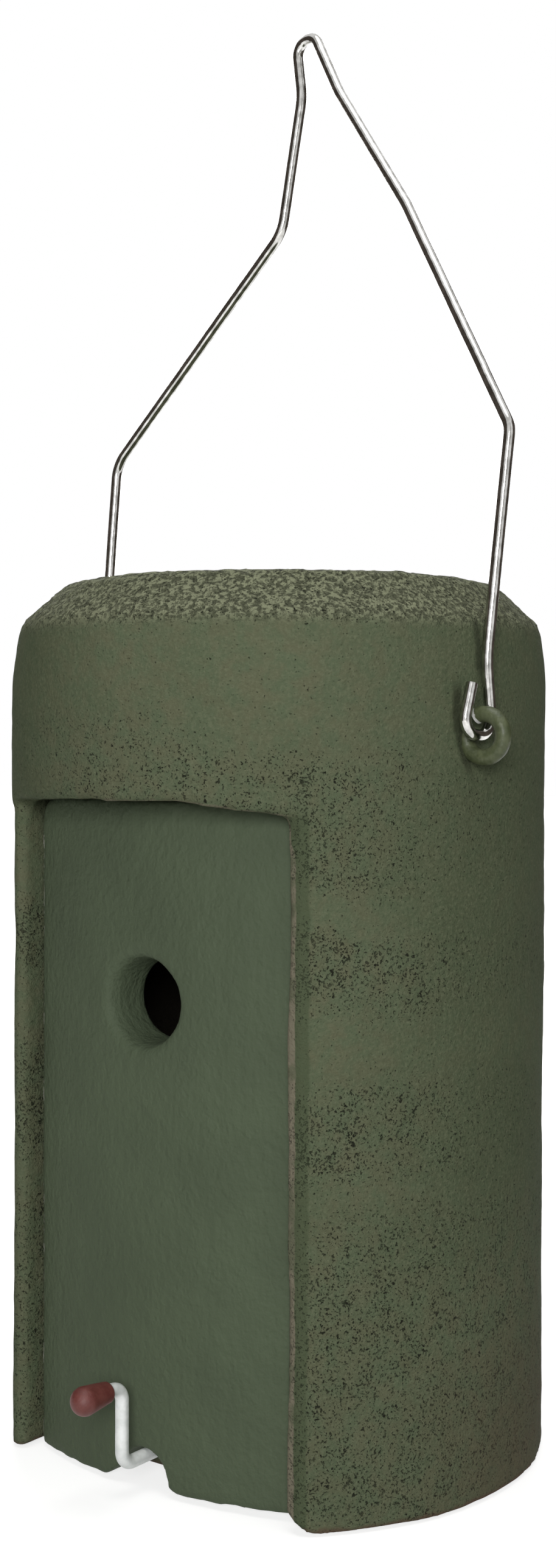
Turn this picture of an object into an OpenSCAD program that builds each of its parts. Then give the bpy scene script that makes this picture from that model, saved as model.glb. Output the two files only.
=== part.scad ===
// Woodcrete nest box: a cast cylinder with a bevelled roof, a removable front panel with a round entrance,
// a wire bail hooked into two cast-in eyes, and a cranked latch that holds the panel's foot.
// Millimetres. Origin at the centre of the base, +Z up, the front panel faces -Y.

/* [Body casting] */
// Outer diameter of the body
body_d = 200; // [180:1:230]
// Height of the body, base to roof
body_h = 320; // [300:1:380]
// Thickness of the round wall
wall = 28; // [24:1:32]
// Thickness of the floor slab
floor_t = 24; // [20:1:32]
// Thickness of the roof
roof_t = 28; // [20:1:40]
// Height over which the wall leans in below the bevel
crown_h = 28; // [16:1:36]
// How far the wall has leant in where the bevel starts
crown_in = 2.6; // [1:0.1:5]
// Width of the roof's bevel, measured inwards
bevel_w = 17.4; // [10:0.2:24]
// Height of the roof's bevel
bevel_h = 16; // [8:1:22]
// Rounding of the bevel's two edges
bevel_round = 3; // [1:0.5:5]
// Rounding of the base edge
base_round = 2; // [1:0.5:8]

/* [Front recess] */
// Depth of the flat front of the jambs behind the round wall's foremost line
flat_in = 25; // [22:0.5:27]
// Distance from the roof down to the lintel's lower edge
lintel_drop = 77.7; // [68:0.1:92]
// Corner rounding where the lintel's lower edge runs down to the jambs
lintel_round = 16; // [8:1:22]
// Width between the jambs
opening_w = 121; // [110:0.5:123]
// Corner rounding at the top of the panel's seat
seat_round = 5; // [2:0.5:8]
// Depth of the face that the panel rests against, behind the flat front of the jambs
seat_in = 16.5; // [14:0.5:19]
// Width of the way into the chamber behind the panel
access_w = 100; // [80:1:104]
// Height of the ledge above the way in
head_ledge = 10; // [6:1:16]

/* [Front panel] */
// Gap between the panel and each jamb
panel_gap = 1; // [0.5:0.1:2]
// Gap between the panel's top and the lintel
top_gap = 1.5; // [0.5:0.1:3]
// Gap between the panel's back and its seat
seat_gap = 0.3; // [0.2:0.1:1]
// Height of the panel's lower edge above the base
panel_foot = 1; // [0.5:0.5:4]
// Thickness of the panel in its middle
panel_t = 19.2; // [17:0.1:22]
// Radius of the panel's bowed front
panel_bow = 165; // [155:1:240]
// Rounding of the panel's upper corners, seen from the front
panel_corner = 10; // [4:1:14]
// Rounding of the panel's lower corners, seen from the front
foot_corner = 3; // [1:0.5:6]
// Rounding that takes the panel's top edge back under the lintel
panel_brow = 6; // [4:1:12]
// Diameter of the entrance hole
entrance_d = 32; // [26:1:34]
// Distance from the lintel's lower edge down to the entrance hole's centre
entrance_drop = 71.3; // [52:0.1:100]
// Rounding of the entrance hole's front rim
rim_round = 4; // [1:0.5:6]
// Width of the arched notch over the latch
notch_w = 21; // [16:0.5:26]

/* [Latch] */
// Diameter of the latch rod
rod_d = 4.8; // [4:0.1:5.5]
// Height of the rod where it turns in the floor
rod_z = 12; // [10:0.5:13]
// Length of the rod inside the floor
rod_seat = 32; // [20:1:36]
// Distance of the rod's upright arm in front of the panel
arm_out = 11.5; // [9:0.5:18]
// Height of the arm between the centres of its two legs
arm_h = 27.5; // [22:0.5:34]
// Bend radius of the rod at its centre
rod_bend = 5; // [4:0.5:7]
// Running clearance round the rod in the floor
rod_clear = 0.08; // [0.02:0.01:0.1]
// Gap between the rod and the top of the notch
notch_gap = 0.3; // [0.2:0.1:1]
// Diameter of the cap's round end
cap_d = 10.4; // [9:0.1:12]
// Diameter of the cap's open end
cap_neck_d = 7.4; // [6.5:0.1:8.5]
// Length of the cap
cap_len = 18; // [14:0.5:22]
// Distance from the arm to the cap's open end
cap_stand = 7.5; // [6:0.5:10]
// Depth of the rod's end inside the cap
cap_hold = 12; // [8:0.5:13]

/* [Eyes] */
// Turn of the line through the eyes from square to the front
eye_turn = 8.4; // [0:0.2:12]
// Distance that the line of the eyes lies in front of the axis
eye_fore = 7.25; // [0:0.25:10]
// Distance from the roof down to the eye rings' centres
eye_drop = 56; // [48:0.1:66]
// Distance from the body's surface out to a ring's centre
eye_out = 6; // [5.8:0.1:7]
// Diameter of an eye ring at the centre of its rod
eye_ring_d = 14.6; // [14:0.1:15]
// Diameter of the coated rod of an eye
eye_rod_d = 5.6; // [5:0.1:5.8]
// Depth of an eye's shank in the wall
shank_len = 24; // [15:1:25]
// Angle at which an eye's ring ends, short of the wall
eye_end = 122; // [112:1:124]

/* [Bail] */
// Diameter of the bail wire
wire_d = 4; // [3.5:0.1:4.2]
// Lean of the bail to the back, away from upright
bail_lean = 5; // [0:1:8]
// Distance that the hooks hang inwards of the ring centres
hook_in = 1.6; // [1:0.1:1.8]
// Radius of the hooks at the centre of the wire
hook_r = 5.5; // [5.4:0.1:5.8]
// Drop of a hook's bend below the middle of the eye's rod
hook_drop = 1.6; // [0.4:0.1:1.8]
// Height of a hook's cut end above the middle of the eye's rod
hook_tip = 10; // [8:0.5:16]
// Height of the left leg's bend above the eyes
left_bend_h = 107.5; // [100:0.5:118]
// Height of the right leg's bend above the eyes
right_bend_h = 99; // [92:0.5:110]
// Rise of the left run from its bend to its kink
left_run = 83; // [74:0.5:90]
// Rise of the right run from its bend to its kink
right_run = 83.5; // [74:0.5:92]
// Distance of the left kink from the middle
left_kink_x = 14; // [11:0.5:18]
// Distance of the right kink from the middle
right_kink_x = 54.5; // [50:0.5:60]
// Height of the bail's top, at the centre of the wire, above the eyes
bail_rise = 264; // [258:0.5:275]
// Distance from the bail's top down to the loop's neck
neck_drop = 24; // [22:0.5:28]
// Distance of the loop's left neck from the middle
left_neck_x = 7; // [5:0.5:8]
// Distance of the loop's right neck from the middle
right_neck_x = 12; // [11:0.5:14]
// Distance of the loop's left corner from the middle
left_loop_x = 11; // [10:0.5:12]
// Distance of the loop's right corner from the middle
right_loop_x = 3.2; // [3:0.1:5]
// Radius of the bends over the legs and at the left kink
shoulder_r = 10; // [7:0.5:14]
// Radius of the soft bends at the right kink and the neck
soft_r = 20; // [14:1:24]
// Radius of the top loop's bends
loop_r = 6.5; // [5.5:0.5:7]

/* [Hidden] */

body_r = body_d/2;
chamber_r = body_r - wall;
wire_r = wire_d/2;
wire_ridge = 0.03;
rod_r = rod_d/2;
eye_rod_r = eye_rod_d/2;
eye_ring_r = eye_ring_d/2;
flat_y = body_r - flat_in;
seat_y = flat_y - seat_in;
flat_half = sqrt(pow(body_r, 2) - pow(flat_y, 2));
recess_half = flat_half + 0.9;
past = 1;
fine = 96;

lintel_z = body_h - lintel_drop;
panel_w = opening_w - 2*panel_gap;
panel_top = lintel_z - top_gap;
panel_back_y = seat_y + seat_gap;
panel_front_y = panel_back_y + panel_t;
arm_y = panel_front_y + arm_out;
notch_top = rod_z + rod_r + notch_gap;
entrance_z = lintel_z - entrance_drop;

// The eyes' own line runs along X before it is turned
eye_x = body_r + eye_out;
eye_z = body_h - eye_drop;
hook_x = eye_x - hook_in;
hook_up = sqrt(pow(eye_ring_r, 2) - pow(hook_in, 2));
swing_z = eye_z + hook_up;

woodcrete = "#4a5741";
panel_paint = "#465a44";
coated = "#55684a";
galvanised = "#c3c4c2";
pale_metal = "#c9cdcb";
red_cap = "#6b332b";

// A point of an arc in the plane, from its centre, radius and angle
function arc_point(c, r, a) = [c[0] + r*cos(a), c[1] + r*sin(a)];
function arc_points(c, r, from, to, steps) =
    [for (i = [0:steps]) arc_point(c, r, from + (to - from)*i/steps)];

// Places what follows in the turned frame of the eyes
module on_eye_line() {
    rotate([0, 0, -eye_turn]) translate([0, -eye_fore, 0]) children();
}

// The casting's outline, turned about the axis: rounded base edge, wall that leans in at its top, bevelled roof
module body_blank() {
    crown_r = (pow(crown_h, 2) + pow(crown_in, 2))/(2*crown_in);
    crown_c = [body_r - crown_r, body_h - bevel_h - crown_h];
    bevel_a = atan2(bevel_h, bevel_w);
    full_a = asin(crown_h/crown_r);
    // The crown's arc stops short of the bevel by the length that the rounded edge takes
    crown_a = full_a - asin(bevel_round*tan((90 - bevel_a - full_a)/2)/crown_r);
    shoulder = arc_point(crown_c, crown_r - bevel_round, crown_a);
    upper_cut = bevel_round*tan(bevel_a/2);
    roof_r = body_r - crown_in - bevel_w;
    rotate_extrude($fn = fine)
        polygon(concat(
            [[0, 0]],
            arc_points([body_r - base_round, base_round], base_round, -90, 0, 6),
            arc_points(crown_c, crown_r, 0, crown_a, 8),
            arc_points(shoulder, bevel_round, crown_a + (90 - bevel_a - crown_a)/4, 90 - bevel_a, 3),
            arc_points([roof_r - upper_cut, body_h - bevel_round], bevel_round, 90 - bevel_a, 90, 4),
            [[0, body_h]]));
}

// A wide flat cut from the front, its top corners rounded: drawn in X and Z, cut along Y
module front_cut(half, top, corner, from_y, to_y) {
    translate([0, -from_y, 0]) rotate([90, 0, 0]) linear_extrude(to_y - from_y) {
        translate([-half, -past]) square([2*half, top - corner + past]);
        translate([-half + corner, top - corner - past]) square([2*(half - corner), corner + past]);
        for (s = [-1, 1])
            translate([s*(half - corner), top - corner]) circle(r = corner, $fn = fine);
    }
}

module chamber() {
    translate([0, 0, floor_t]) cylinder(h = body_h - roof_t - floor_t, r = chamber_r, $fn = fine);
}

// The straight-sided way into the chamber, which the panel covers
module access() {
    translate([-access_w/2, -seat_y - past, floor_t])
        cube([access_w, seat_y + past - access_w/4, lintel_z - head_ledge - floor_t]);
}

module rod_bore() {
    translate([0, -seat_y + rod_seat + past, rod_z]) rotate([90, 0, 0])
        cylinder(h = rod_seat + 2*past, r = rod_r + rod_clear, $fn = fine);
}

module body_shell() {
    color(woodcrete) difference() {
        body_blank();
        front_cut(recess_half, lintel_z, lintel_round, flat_y, body_r + past);
        front_cut(opening_w/2, lintel_z, seat_round, seat_y, body_r + past);
        chamber();
        access();
        rod_bore();
        for (side = [1, -1]) eye_solid(side);
    }
}

// The panel's plan: flat back and bowed front
module panel_plan() {
    intersection() {
        translate([-panel_w/2 - past, -panel_front_y - past]) square([panel_w + 2*past, panel_t + past]);
        translate([0, panel_bow - panel_front_y]) circle(r = panel_bow, $fn = 4*fine);
    }
}

// The panel seen from the front: rounded corners
module panel_face() {
    half = panel_w/2;
    straight = panel_top - panel_corner - panel_foot - foot_corner;
    translate([-half, panel_foot + foot_corner]) square([panel_w, straight]);
    translate([-half + foot_corner, panel_foot]) square([panel_w - 2*foot_corner, foot_corner + past]);
    translate([-half + panel_corner, panel_top - panel_corner - past])
        square([panel_w - 2*panel_corner, panel_corner + past]);
    for (s = [-1, 1]) {
        translate([s*(half - panel_corner), panel_top - panel_corner]) circle(r = panel_corner, $fn = fine);
        translate([s*(half - foot_corner), panel_foot + foot_corner]) circle(r = foot_corner, $fn = fine);
    }
}

// The panel seen from the side, drawn in distance from the axis and height: its brow is rounded back.
// The rounding starts a little outside the panel, so that it meets the front and the top at an angle.
module panel_side() {
    deep = panel_front_y + 0.4;
    high = panel_top + 0.4;
    translate([panel_back_y - past, 0]) square([deep - panel_back_y + past, high - panel_brow]);
    translate([panel_back_y - past, high - panel_brow - past])
        square([deep - panel_brow - panel_back_y + past, panel_brow + past]);
    translate([deep - panel_brow, high - panel_brow]) circle(r = panel_brow, $fn = fine);
}

// The entrance bore with its softly rounded front rim, which meets the front at an angle
module entrance() {
    bore_r = entrance_d/2;
    translate([0, -panel_front_y - 0.4, entrance_z]) rotate([-90, 0, 0]) {
        translate([0, 0, -past]) cylinder(h = panel_t + 2*past, r = bore_r, $fn = fine);
        rotate_extrude($fn = fine)
            polygon(concat(
                [[bore_r - past, -past], [bore_r + rim_round, -past]],
                arc_points([bore_r + rim_round, rim_round], rim_round, -90, -180, 8),
                [[bore_r - past, rim_round]]));
    }
}

// The arched notch at the foot, over the latch rod
module notch() {
    notch_r = notch_w/2;
    translate([0, -panel_back_y + past, 0]) rotate([90, 0, 0]) linear_extrude(panel_t + 2*past) {
        translate([-notch_r, -past]) square([notch_w, notch_top - notch_r + past]);
        translate([0, notch_top - notch_r]) circle(r = notch_r, $fn = fine);
    }
}

module front_panel() {
    color(panel_paint) difference() {
        intersection() {
            linear_extrude(panel_top + past) panel_plan();
            translate([0, -panel_back_y + past, 0]) rotate([90, 0, 0])
                linear_extrude(panel_t + 2*past) panel_face();
            rotate([90, 0, -90]) translate([0, 0, -panel_w/2 - 2*past])
                linear_extrude(panel_w + 4*past) panel_side();
        }
        entrance();
        notch();
    }
}

// One straight stretch of wire or rod between two points of a plane that is drawn as X and Z
module stretch(p, q, r) {
    d = q - p;
    translate([p[0], 0, p[1]]) rotate([0, atan2(d[0], d[1]), 0]) cylinder(h = norm(d), r = r, $fn = 32);
}

// One bend in that plane: centre, bend radius, start angle and swept angle, both from +X towards +Z
module bend(c, bend_r, from, sweep, r) {
    translate([c[0], 0, c[1]]) rotate([90, 0, 0]) rotate([0, 0, min(from, from + sweep)])
        rotate_extrude(angle = abs(sweep), $fn = 48) translate([bend_r, 0]) circle(r = r, $fn = 32);
}

// A ball at a point of that plane
module ball(p, r) {
    translate([p[0], 0, p[1]]) sphere(r = r, $fn = 32);
}

// Heading of the line from one point to the next, and the turn at a corner between two lines
function heading(p, q) = atan2(q[1] - p[1], q[0] - p[0]);
function wrap(a) = a > 180 ? a - 360 : a < -180 ? a + 360 : a;
function turn_at(p, i) = wrap(heading(p[i], p[i + 1]) - heading(p[i - 1], p[i]));
// Length that a corner's rounding takes from the lines on both sides of it
function setback(p, r, i) = i == 0 || i == len(p) - 1 ? 0 : r[i]*tan(abs(turn_at(p, i))/2);

// A wire through the corners p with bend radii r, lying in the plane that is drawn as X and Z.
// Each bend starts and ends at a faint ring, which stands out by the ridge given.
module bent_wire(p, r, wire, ridge = 0) {
    last = len(p) - 1;
    for (i = [0:last - 1]) {
        way = (p[i + 1] - p[i])/norm(p[i + 1] - p[i]);
        stretch(p[i] + way*setback(p, r, i), p[i + 1] - way*setback(p, r, i + 1), wire);
    }
    for (i = [1:last - 1]) {
        in_a = heading(p[i - 1], p[i]);
        turn = turn_at(p, i);
        side = turn > 0 ? 90 : -90;
        start = p[i] - setback(p, r, i)*[cos(in_a), sin(in_a)];
        bend(start + r[i]*[cos(in_a + side), sin(in_a + side)], r[i], in_a - side, turn, wire);
        if (ridge > 0) {
            out_a = in_a + turn;
            ball(start, wire + ridge);
            ball(p[i] + setback(p, r, i)*[cos(out_a), sin(out_a)], wire + ridge);
        }
    }
}

// One eye: an open ring whose lower end turns into the wall and goes on as a straight shank
module eye_solid(side) {
    on_eye_line() mirror([side < 0 ? 1 : 0, 0, 0]) {
        bend([eye_x, eye_z], eye_ring_r, -180, 180 + eye_end, eye_rod_r);
        translate([eye_x - eye_ring_r, 0, eye_z]) sphere(r = eye_rod_r, $fn = 32);
        stretch([eye_x - eye_ring_r - shank_len, eye_z], [eye_x - eye_ring_r, eye_z], eye_rod_r);
    }
}

module right_eye() {
    color(coated) eye_solid(1);
}

module left_eye() {
    color(coated) eye_solid(-1);
}

// One hook: down behind the eye's rod, round under it and up again in front
module hook(side) {
    translate([side*hook_x, 0, 0]) {
        translate([0, 0, -hook_drop]) rotate([0, 0, 90]) bend([0, 0], hook_r, -180, 180, wire_r);
        for (s = [1, -1]) translate([0, s*hook_r, -hook_drop]) sphere(r = wire_r + wire_ridge, $fn = 32);
        translate([0, -hook_r, -hook_drop]) cylinder(h = hook_tip + hook_drop, r = wire_r, $fn = 32);
    }
}

module bail() {
    corners = [
        [-hook_x, -hook_drop],
        [-hook_x, left_bend_h],
        [-left_kink_x, left_bend_h + left_run],
        [-left_neck_x, bail_rise - neck_drop],
        [-left_loop_x, bail_rise],
        [right_loop_x, bail_rise],
        [right_neck_x, bail_rise - neck_drop],
        [right_kink_x, right_bend_h + right_run],
        [hook_x, right_bend_h],
        [hook_x, -hook_drop]];
    radii = [0, shoulder_r, shoulder_r, soft_r, loop_r, loop_r, soft_r, soft_r, shoulder_r, 0];
    color(galvanised) on_eye_line() translate([0, 0, swing_z]) rotate([-bail_lean, 0, 0]) {
        translate([0, hook_r, 0]) bent_wire(corners, radii, wire_r, wire_ridge);
        for (side = [1, -1]) hook(side);
    }
}

// Places a plane that is drawn as distance in front of the axis and height
module in_latch_plane() {
    rotate([0, 0, -90]) children();
}

module latch_crank() {
    knob_z = rod_z + arm_h;
    rod_end = arm_y + cap_stand + cap_hold;
    corners = [[seat_y - rod_seat, rod_z], [arm_y, rod_z], [arm_y, knob_z], [rod_end, knob_z]];
    color(pale_metal) in_latch_plane() bent_wire(corners, [0, rod_bend, rod_bend, 0], rod_r);
}

// The cap: a ball end on a tapered sleeve, pushed over the rod
module latch_cap() {
    cap_y = arm_y + cap_stand;
    ball_r = cap_d/2;
    ball = cap_len - ball_r;
    taper = atan2(ball_r - cap_neck_d/2, ball);
    color(red_cap) in_latch_plane() translate([cap_y, 0, rod_z + arm_h]) rotate([0, 90, 0]) difference() {
        rotate_extrude($fn = fine)
            polygon(concat([[0, 0], [cap_neck_d/2, 0]], arc_points([0, ball], ball_r, -taper, 90, 12)));
        translate([0, 0, -past]) cylinder(h = cap_hold + past, r = rod_r, $fn = fine);
    }
}

body_shell();
front_panel();
right_eye();
left_eye();
bail();
latch_crank();
latch_cap();
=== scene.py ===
import bpy
import math
from mathutils import Matrix, Vector


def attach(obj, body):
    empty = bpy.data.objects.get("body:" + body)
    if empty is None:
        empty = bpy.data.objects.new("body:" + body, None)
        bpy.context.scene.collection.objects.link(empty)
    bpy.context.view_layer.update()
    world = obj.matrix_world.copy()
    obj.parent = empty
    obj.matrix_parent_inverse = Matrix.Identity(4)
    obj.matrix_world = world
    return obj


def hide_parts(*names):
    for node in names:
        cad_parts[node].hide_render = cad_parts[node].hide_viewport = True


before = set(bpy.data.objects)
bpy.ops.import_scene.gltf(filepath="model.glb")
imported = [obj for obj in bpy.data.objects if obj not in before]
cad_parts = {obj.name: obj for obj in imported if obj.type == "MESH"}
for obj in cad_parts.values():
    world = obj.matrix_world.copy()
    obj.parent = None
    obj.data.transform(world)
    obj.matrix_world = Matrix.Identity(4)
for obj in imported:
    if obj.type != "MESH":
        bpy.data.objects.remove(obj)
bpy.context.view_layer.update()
print("frame loaded")

# Each piece has one dictionary of what a user would change, beside the code that uses it.
# Lengths there are in millimetres, angles in degrees, and colours are hex strings.
perMetre = 1000.0                     # millimetres
perRadian = 180.0 / math.pi           # degrees
draft = 1.0    # how much larger the castings' cells are in a quick try


def colour(text):
    parts = [int(text[i:i + 2], 16) / 255 for i in (1, 3, 5)]
    return tuple([c / 12.92 if c <= 0.04045 else ((c + 0.055) / 1.055) ** 2.4 for c in parts] + [1.0])


class Term:
    # One node socket that can be reckoned with like a number or a vector

    def __init__(self, tree, socket=None):
        self.tree = tree
        self.socket = socket

    def node(self, kind, given=None, out=0, **settings):
        made = self.tree.nodes.new(kind)
        for name, value in settings.items():
            setattr(made, name, value)
        for key, value in (given or {}).items():
            if isinstance(value, Term):
                self.tree.links.new(value.socket, made.inputs[key])
            else:
                made.inputs[key].default_value = value
        return Term(self.tree, made.outputs[out])

    def spatial(self):
        return self.socket.type == "VECTOR"

    def calc(self, operation, *others):
        terms = (self,) + others
        if not any(isinstance(t, tuple) or isinstance(t, Term) and t.spatial() for t in terms):
            return self.node("ShaderNodeMath", dict(enumerate(terms)), operation=operation)
        terms = [(t, t, t) if isinstance(t, (int, float)) else t for t in terms]
        out = 1 if operation == "LENGTH" else 0
        return self.node("ShaderNodeVectorMath", dict(enumerate(terms)), out, operation=operation)

    def __add__(self, other):
        return self.calc("ADD", other)

    def __radd__(self, other):
        return self.calc("ADD", other)

    def __mul__(self, other):
        return self.calc("MULTIPLY", other)

    def __rmul__(self, other):
        return self.calc("MULTIPLY", other)

    def __sub__(self, other):
        return self.calc("SUBTRACT", other)

    def __rsub__(self, other):
        return (self * -1.0).calc("ADD", other)

    def __truediv__(self, other):
        return self.calc("DIVIDE", other)

    def __rtruediv__(self, other):
        return (self * 0.0 + other).calc("DIVIDE", self)

    def __neg__(self):
        return self * -1.0

    def __pow__(self, other):
        return self.calc("POWER", other)

    def atLeast(self, other):
        return self.calc("MAXIMUM", other)

    def atMost(self, other):
        return self.calc("MINIMUM", other)

    def size(self):
        return self.calc("ABSOLUTE")

    def parts(self):
        split = self.node("ShaderNodeSeparateXYZ", {0: self}).socket.node
        return [Term(self.tree, split.outputs[axis]) for axis in range(3)]

    def ramp(self, start, end, smooth=True):
        # Rises from 0 to 1 between the two values
        kind = "SMOOTHSTEP" if smooth else "LINEAR"
        given = {0: self, 1: start, 2: end, 3: 0.0, 4: 1.0}
        return self.node("ShaderNodeMapRange", given, interpolation_type=kind)

    def fall(self, start, end):
        # Drops from 1 to 0 between the two values
        return 1.0 - self.ramp(start, end)

    def within(self, low, high, soft):
        # 1 between two levels, fading to 0 over the distance given
        return self.ramp(low - soft, low + soft) * self.fall(high - soft, high + soft)

    def noise(self, size, detail=2.0, rough=0.5, shift=(0.0, 0.0, 0.0)):
        # The shift keeps two patterns of one place from looking alike
        place = self.calc("ADD", shift)
        given = {"Vector": place, "Scale": 1.0 / size, "Detail": detail, "Roughness": rough}
        return self.node("ShaderNodeTexNoise", given)

    def wave(self, *given):
        # The same noise, swinging about 0
        return self.noise(*given) - 0.5

    def blend(self, first, second):
        return self.node("ShaderNodeMix", {0: self, 6: first, 7: second}, 2, data_type="RGBA")


def reach(first, second):
    return (first * first + second * second).calc("SQRT")


def turnRound(x, y):
    # The angle round the body: 0 at the front, growing towards +X
    return x.calc("ARCTAN2", -y) * perRadian


def softMax(first, second, soft):
    # The overlap of two solids given by their distances, with the edge between them rounded.
    # A cut is given by its own distance turned round, which is over 0 inside it.
    return first.calc("SMOOTH_MAX", second, soft)


def softMin(first, second, soft):
    # Two solids joined in the same way, or the space that two cuts share
    return first.calc("SMOOTH_MIN", second, soft)


def newGroup(name, inputs):
    tree = bpy.data.node_groups.new(name, "GeometryNodeTree")
    tree.interface.new_socket("Geometry", in_out="INPUT", socket_type="NodeSocketGeometry")
    for label, value in inputs.items():
        kind = "NodeSocketInt" if isinstance(value, int) else "NodeSocketFloat"
        tree.interface.new_socket(label, in_out="INPUT", socket_type=kind).default_value = value
    tree.interface.new_socket("Geometry", in_out="OUTPUT", socket_type="NodeSocketGeometry")
    entry = tree.nodes.new("NodeGroupInput")
    return tree, {socket.name: Term(tree, socket) for socket in entry.outputs if socket.name}


def closeGroup(tree, geometry, material):
    real = geometry.node("GeometryNodeRealizeInstances", {"Geometry": geometry})
    finished = real.node("GeometryNodeSetMaterial", {"Geometry": real, "Material": material})
    leave = tree.nodes.new("NodeGroupOutput")
    tree.links.new(finished.socket, leave.inputs[0])
    return tree


def settled(source):
    graph = bpy.context.evaluated_depsgraph_get()
    graph.update()
    return bpy.data.meshes.new_from_object(source.evaluated_get(graph), depsgraph=graph)


def thinned(name, mesh, limit):
    # Collapses the flattest faces until the mesh has the number of triangles given
    mesh.calc_loop_triangles()
    count = len(mesh.loop_triangles)
    if count <= limit:
        return mesh
    carrier = bpy.data.objects.new(name + "Thick", mesh)
    bpy.context.collection.objects.link(carrier)
    cut = carrier.modifiers.new("Thin", "DECIMATE")
    cut.ratio = limit / count
    thin = settled(carrier)
    bpy.data.objects.remove(carrier)
    return thin


def grown(name, data, tree, inputs, limit=None):
    # Runs a node group once and keeps its result as a plain mesh at the origin
    seedling = bpy.data.objects.new(name + "Seed", data)
    bpy.context.collection.objects.link(seedling)
    made = seedling.modifiers.new("Shape", "NODES")
    made.node_group = tree
    for socket in tree.interface.items_tree:
        if socket.name in inputs:
            made[socket.identifier] = inputs[socket.name]
    mesh = settled(seedling)
    if limit:
        mesh = thinned(name, mesh, limit)
    mesh.name = name
    piece = bpy.data.objects.new(name, mesh)
    bpy.context.collection.objects.link(piece)
    bpy.data.objects.remove(seedling)
    mesh.shade_smooth()
    print(name, len(mesh.polygons), "faces")
    return piece


def facedOut(piece):
    # Turns the faces of a mesh outwards if they point in
    mesh = piece.data
    mesh.calc_loop_triangles()
    total = 0.0
    for face in mesh.loop_triangles:
        a, b, c = [mesh.vertices[i].co for i in face.vertices]
        total += a.dot(b.cross(c))
    if total < 0:
        mesh.flip_normals()
    return piece


def carved(tree, solid, cell, low, high, material):
    # Turns a field of distances, in millimetres, into the surface where it is nought
    band = 16.0    # the density falls from 1 to 0 over this distance, half of it inside
    given = {"Density": 0.5 - solid / band, "Background": 0.0}
    given["Min"] = tuple(v / perMetre for v in low)
    given["Max"] = tuple(v / perMetre for v in high)
    for axis, start, end in zip("XYZ", low, high):
        given["Resolution " + axis] = (end - start) / cell
    block = solid.node("GeometryNodeVolumeCube", given)
    given = {"Volume": block, "Threshold": 0.5, "Adaptivity": 0.0}
    return closeGroup(tree, block.node("GeometryNodeVolumeToMesh", given), material)


def newMaterial(name):
    made = bpy.data.materials.new(name)
    made.use_nodes = True
    tree = made.node_tree
    surface = tree.nodes["Principled BSDF"]
    place = Term(tree).node("ShaderNodeTexCoord", None, "Object") * perMetre
    return made, surface, place


def feed(surface, **terms):
    for key, value in terms.items():
        entry = surface.inputs[key.replace("_", " ")]
        if isinstance(value, Term):
            value.tree.links.new(value.socket, entry)
        else:
            entry.default_value = value


def bumped(height, depth, strength=1.0):
    given = {"Height": height, "Distance": depth / perMetre, "Strength": strength}
    return height.node("ShaderNodeBump", given, "Normal")


# The cast body
bodyLook = {
    "voxel": 1.5,
    "triangles": 192000,
    "boxLow": (-102.0, -102.0, -2.0),    # the surface is looked for in this box
    "boxHigh": (102.0, 102.0, 322.0),
    "seed": 3,
    "radius": 100.0,
    "height": 320.0,
    "bevelWidth": 17.4,
    "bevelHeight": 16.0,
    "bevelSoft": 3.5,
    "roofSoft": 4.0,
    "baseSoft": 2.4,
    "topTaper": 2.6,
    "taperHeight": 44.0,             # how far below the roof the wall starts to draw in
    "footTaper": (170.0, 0.5),       # the wall gains this much from the height given down to its foot
    "bevelOut": 0.5,                 # how far the bevel's foot stands out of the drawn-in wall
    "topShift": (0.5, 0.35),
    "leftStep": 1.0,
    "flatAt": 75.0,
    "seatAt": 58.5,
    "openingHalf": 60.5,
    "lintelAt": 242.4,
    "chamberRadius": 72.0,
    "floorTop": 24.0,
    "ceiling": 292.0,
    "accessHalf": 50.0,
    "accessTop": 232.3,
    "accessFrom": 25.0,
    "boreHeight": 12.0,
    "boreRadius": 2.7,
    "boreFrom": 26.5,
    "lumps": 0.9,
    "grain": 0.55,
    "pitDepth": 1.1,
    "pits": [                        # size, level and shift of each kind of pit
        (2.6, 0.845, (0.0, 0.0, 0.0)),
        (1.3, 0.724, (7.0, 3.0, 1.0)),
        (0.8, 0.7, (1.0, 6.0, 8.0)),
    ],
    "bands": [                       # bottom, top, softness and share of each pitted band
        (172.0, 199.0, 7.0, 0.7),
        (109.0, 150.0, 8.0, 0.7),
    ],
    "lowBand": (0.0, 102.0, 10.0),
    "lowShare": 0.72,
    "roofShare": 0.75,
    "wireShadowTurn": 80.3,               # where the painted shadow beside the bail's wire stands above the right eye, and that beside the hook and ring below it
    "hookShadowTurn": 74.0,
    "paint": "#5e604a",
    "paintGreen": "#57614a",
    "paintDeepAndShade": "#4a533d",
    "paintPale": "#6c7159",
    "roofDeep": "#5f634e",
    "roofPale": "#8e9276",
    # the pits' dark, partly painted shade, also the colour of the painted shadows beside the bail
    "pit": "#1c1e14",
    "bare": "#7a7463",
    # the chamber's unpainted walls, darkened as painted shade
    "inside": "#2b2720",
    "foot": "#5d443a",
    "roughness": 0.82,
    "specular": 0.12,
}


def upperBand(level, turn):
    # Below the smooth band under the roof, with its top lower on the right and its pits thinner there
    top = 272.0 - turn.ramp(8.0, 48.0) * 17.0
    share = turn.within(36.0, 52.0, 9.0) * 0.26 + turn.within(-14.0, 64.0, 12.0) * 0.3 + 0.28
    return (level - 213.0).ramp(-4.0, 8.0) * (top - level).ramp(-6.0, 8.0) * share


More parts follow.
